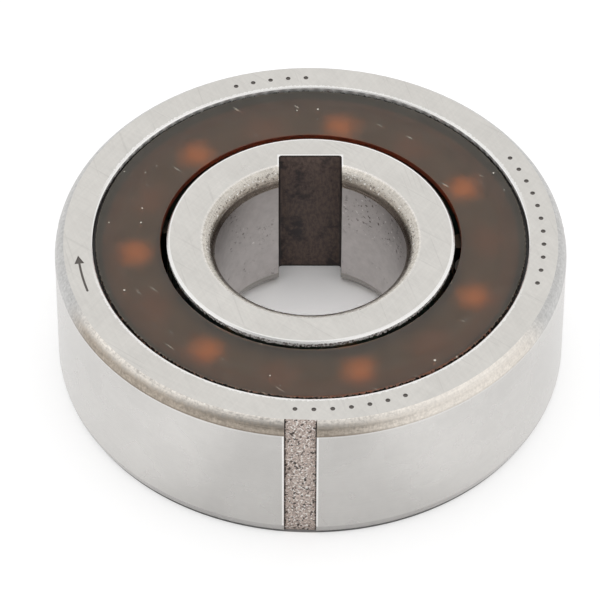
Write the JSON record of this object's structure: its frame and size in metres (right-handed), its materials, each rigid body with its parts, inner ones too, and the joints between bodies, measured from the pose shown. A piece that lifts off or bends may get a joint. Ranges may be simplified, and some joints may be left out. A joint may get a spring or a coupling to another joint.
{
  "type": "sprag clutch",
  "caption": "Bearing-type sprag clutch: keyed steel rings, ball races, wedging sprags, cage and garter springs under flat shields; the bore turns freely one way and locks the other.",
  "frame": {"origin": "on the clutch's axis at the bottom faces of the rings", "axes": "+Z along the axis, up through the face with the arrow; the outer keyway faces -Y; the inner keyway stands 2.5 degrees past +Y towards -X while locked"},
  "size_m": [0.032, 0.032, 0.01],
  "materials": {
    "outer_ring_steel": "ground faces and outside, etched marks",
    "inner_ring_steel": "ground faces and bore",
    "shield_resin": "translucent brown, smooth",
    "cage_resin": "moulded",
    "ball_steel": "polished",
    "sprag_steel": "ground and hardened",
    "spring_steel": "drawn wire"
  },
  "bodies": {
    "outer": {"outer_ring": "outer_ring_steel", "shield_lower": "shield_resin", "shield_upper": "shield_resin"},
    "inner": {"inner_ring": "inner_ring_steel"},
    "cage": {"cage_lower": "cage_resin", "cage_upper": "cage_resin", "garter_spring_lower": "spring_steel", "garter_spring_upper": "spring_steel"},
    "ball_1": {"ball_1": "ball_steel"},
    "ball_2": {"ball_2": "ball_steel"},
    "ball_3": {"ball_3": "ball_steel"},
    "ball_4": {"ball_4": "ball_steel"},
    "ball_5": {"ball_5": "ball_steel"},
    "ball_6": {"ball_6": "ball_steel"},
    "ball_7": {"ball_7": "ball_steel"},
    "sprag_01": {"sprag_01": "sprag_steel"},
    "sprag_02": {"sprag_02": "sprag_steel"},
    "sprag_03": {"sprag_03": "sprag_steel"},
    "sprag_04": {"sprag_04": "sprag_steel"},
    "sprag_05": {"sprag_05": "sprag_steel"},
    "sprag_06": {"sprag_06": "sprag_steel"},
    "sprag_07": {"sprag_07": "sprag_steel"},
    "sprag_08": {"sprag_08": "sprag_steel"},
    "sprag_09": {"sprag_09": "sprag_steel"},
    "sprag_10": {"sprag_10": "sprag_steel"},
    "sprag_11": {"sprag_11": "sprag_steel"},
    "sprag_12": {"sprag_12": "sprag_steel"},
    "sprag_13": {"sprag_13": "sprag_steel"},
    "sprag_14": {"sprag_14": "sprag_steel"}
  },
  "joints": [
    {"name": "inner_spin", "type": "hinge", "parent": "outer", "child": "inner", "pos_m": [0, 0, 0.005], "axis": [0, 0, -1], "range_deg": [0, 1170]},
    {"name": "cage_orbit", "type": "hinge", "parent": "outer", "child": "cage", "pos_m": [0, 0, 0.005], "axis": [0, 0, -1], "range_deg": [0, 459]},
    {"name": "ball_1_spin", "type": "hinge", "parent": "cage", "child": "ball_1", "pos_m": [0.00945, 0.00563, 0.005], "axis": [0, 0, -1], "range_deg": [-2576, 0]},
    {"name": "ball_2_spin", "type": "hinge", "parent": "cage", "child": "ball_2", "pos_m": [0.00149, 0.0109, 0.005], "axis": [0, 0, -1], "range_deg": [-2576, 0]},
    {"name": "ball_3_spin", "type": "hinge", "parent": "cage", "child": "ball_3", "pos_m": [-0.00759, 0.00796, 0.005], "axis": [0, 0, -1], "range_deg": [-2576, 0]},
    {"name": "ball_4_spin", "type": "hinge", "parent": "cage", "child": "ball_4", "pos_m": [-0.01096, -0.00098, 0.005], "axis": [0, 0, -1], "range_deg": [-2576, 0]},
    {"name": "ball_5_spin", "type": "hinge", "parent": "cage", "child": "ball_5", "pos_m": [-0.00607, -0.00917, 0.005], "axis": [0, 0, -1], "range_deg": [-2576, 0]},
    {"name": "ball_6_spin", "type": "hinge", "parent": "cage", "child": "ball_6", "pos_m": [0.00339, -0.01047, 0.005], "axis": [0, 0, -1], "range_deg": [-2576, 0]},
    {"name": "ball_7_spin", "type": "hinge", "parent": "cage", "child": "ball_7", "pos_m": [0.01029, -0.00388, 0.005], "axis": [0, 0, -1], "range_deg": [-2576, 0]},
    {"name": "sprag_01_tilt", "type": "hinge", "parent": "cage", "child": "sprag_01", "pos_m": [0.00743, 0.00913, 0.005], "axis": [0, 0, 1], "range_deg": [0, 4], "stiffness_Nm_per_rad": 0.00005},
    {"name": "sprag_02_tilt", "type": "hinge", "parent": "cage", "child": "sprag_02", "pos_m": [0.00524, 0.01054, 0.005], "axis": [0, 0, 1], "range_deg": [0, 4], "stiffness_Nm_per_rad": 0.00005},
    {"name": "sprag_03_tilt", "type": "hinge", "parent": "cage", "child": "sprag_03", "pos_m": [-0.0025, 0.0115, 0.005], "axis": [0, 0, 1], "range_deg": [0, 4], "stiffness_Nm_per_rad": 0.00005},
    {"name": "sprag_04_tilt", "type": "hinge", "parent": "cage", "child": "sprag_04", "pos_m": [-0.00497, 0.01067, 0.005], "axis": [0, 0, 1], "range_deg": [0, 4], "stiffness_Nm_per_rad": 0.00005},
    {"name": "sprag_05_tilt", "type": "hinge", "parent": "cage", "child": "sprag_05", "pos_m": [-0.01055, 0.00522, 0.005], "axis": [0, 0, 1], "range_deg": [0, 4], "stiffness_Nm_per_rad": 0.00005},
    {"name": "sprag_06_tilt", "type": "hinge", "parent": "cage", "child": "sprag_06", "pos_m": [-0.01144, 0.00277, 0.005], "axis": [0, 0, 1], "range_deg": [0, 4], "stiffness_Nm_per_rad": 0.00005},
    {"name": "sprag_07_tilt", "type": "hinge", "parent": "cage", "child": "sprag_07", "pos_m": [-0.01066, -0.005, 0.005], "axis": [0, 0, 1], "range_deg": [0, 4], "stiffness_Nm_per_rad": 0.00005},
    {"name": "sprag_08_tilt", "type": "hinge", "parent": "cage", "child": "sprag_08", "pos_m": [-0.0093, -0.00722, 0.005], "axis": [0, 0, 1], "range_deg": [0, 4], "stiffness_Nm_per_rad": 0.00005},
    {"name": "sprag_09_tilt", "type": "hinge", "parent": "cage", "child": "sprag_09", "pos_m": [-0.00274, -0.01145, 0.005], "axis": [0, 0, 1], "range_deg": [0, 4], "stiffness_Nm_per_rad": 0.00005},
    {"name": "sprag_10_tilt", "type": "hinge", "parent": "cage", "child": "sprag_10", "pos_m": [-0.00015, -0.01177, 0.005], "axis": [0, 0, 1], "range_deg": [0, 4], "stiffness_Nm_per_rad": 0.00005},
    {"name": "sprag_11_tilt", "type": "hinge", "parent": "cage", "child": "sprag_11", "pos_m": [0.00724, -0.00928, 0.005], "axis": [0, 0, 1], "range_deg": [0, 4], "stiffness_Nm_per_rad": 0.00005},
    {"name": "sprag_12_tilt", "type": "hinge", "parent": "cage", "child": "sprag_12", "pos_m": [0.00911, -0.00746, 0.005], "axis": [0, 0, 1], "range_deg": [0, 4], "stiffness_Nm_per_rad": 0.00005},
    {"name": "sprag_13_tilt", "type": "hinge", "parent": "cage", "child": "sprag_13", "pos_m": [0.01177, -0.00012, 0.005], "axis": [0, 0, 1], "range_deg": [0, 4], "stiffness_Nm_per_rad": 0.00005},
    {"name": "sprag_14_tilt", "type": "hinge", "parent": "cage", "child": "sprag_14", "pos_m": [0.01151, 0.00247, 0.005], "axis": [0, 0, 1], "range_deg": [0, 4], "stiffness_Nm_per_rad": 0.00005}
  ],
  "couplings": [
    {"joint": "cage_orbit", "follows": "inner_spin", "ratio": 0.39176},
    {"joint": "ball_1_spin", "follows": "inner_spin", "ratio": -2.2015},
    {"joint": "ball_2_spin", "follows": "inner_spin", "ratio": -2.2015},
    {"joint": "ball_3_spin", "follows": "inner_spin", "ratio": -2.2015},
    {"joint": "ball_4_spin", "follows": "inner_spin", "ratio": -2.2015},
    {"joint": "ball_5_spin", "follows": "inner_spin", "ratio": -2.2015},
    {"joint": "ball_6_spin", "follows": "inner_spin", "ratio": -2.2015},
    {"joint": "ball_7_spin", "follows": "inner_spin", "ratio": -2.2015},
    {"joint": "sprag_02_tilt", "follows": "sprag_01_tilt", "ratio": 1},
    {"joint": "sprag_03_tilt", "follows": "sprag_01_tilt", "ratio": 1},
    {"joint": "sprag_04_tilt", "follows": "sprag_01_tilt", "ratio": 1},
    {"joint": "sprag_05_tilt", "follows": "sprag_01_tilt", "ratio": 1},
    {"joint": "sprag_06_tilt", "follows": "sprag_01_tilt", "ratio": 1},
    {"joint": "sprag_07_tilt", "follows": "sprag_01_tilt", "ratio": 1},
    {"joint": "sprag_08_tilt", "follows": "sprag_01_tilt", "ratio": 1},
    {"joint": "sprag_09_tilt", "follows": "sprag_01_tilt", "ratio": 1},
    {"joint": "sprag_10_tilt", "follows": "sprag_01_tilt", "ratio": 1},
    {"joint": "sprag_11_tilt", "follows": "sprag_01_tilt", "ratio": 1},
    {"joint": "sprag_12_tilt", "follows": "sprag_01_tilt", "ratio": 1},
    {"joint": "sprag_13_tilt", "follows": "sprag_01_tilt", "ratio": 1},
    {"joint": "sprag_14_tilt", "follows": "sprag_01_tilt", "ratio": 1}
  ]
}
